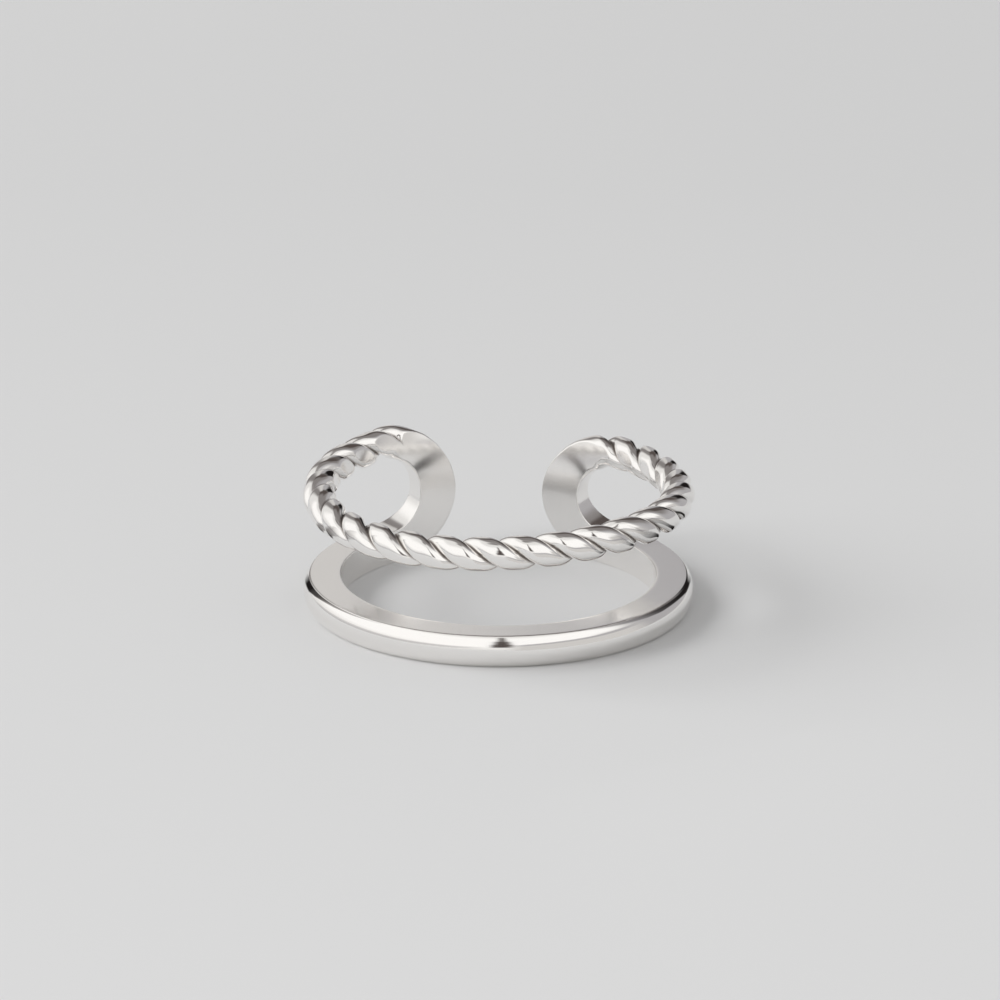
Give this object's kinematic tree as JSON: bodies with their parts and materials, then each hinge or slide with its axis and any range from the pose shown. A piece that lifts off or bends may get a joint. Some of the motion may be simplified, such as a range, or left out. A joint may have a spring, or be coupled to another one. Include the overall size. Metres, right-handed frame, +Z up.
{
  "type": "rope twist ring",
  "caption": "Open finger ring with a smooth domed band below and a rope twist row above, joined by a smooth crescent at each side of the opening.",
  "frame": {"origin": "on the axis of the finger hole, at the foot of the smooth band", "axes": "+Z up along the finger hole's axis, from the smooth band to the rope row; +Y towards the opening between the two crescents; +X to the right for someone who faces the front, seen from -Y"},
  "size_m": [0.0214, 0.0203, 0.0077],
  "materials": {
    "polished_silver": "polished"
  },
  "bodies": {
    "root": {"ring": "polished_silver"}
  },
  "joints": []
}
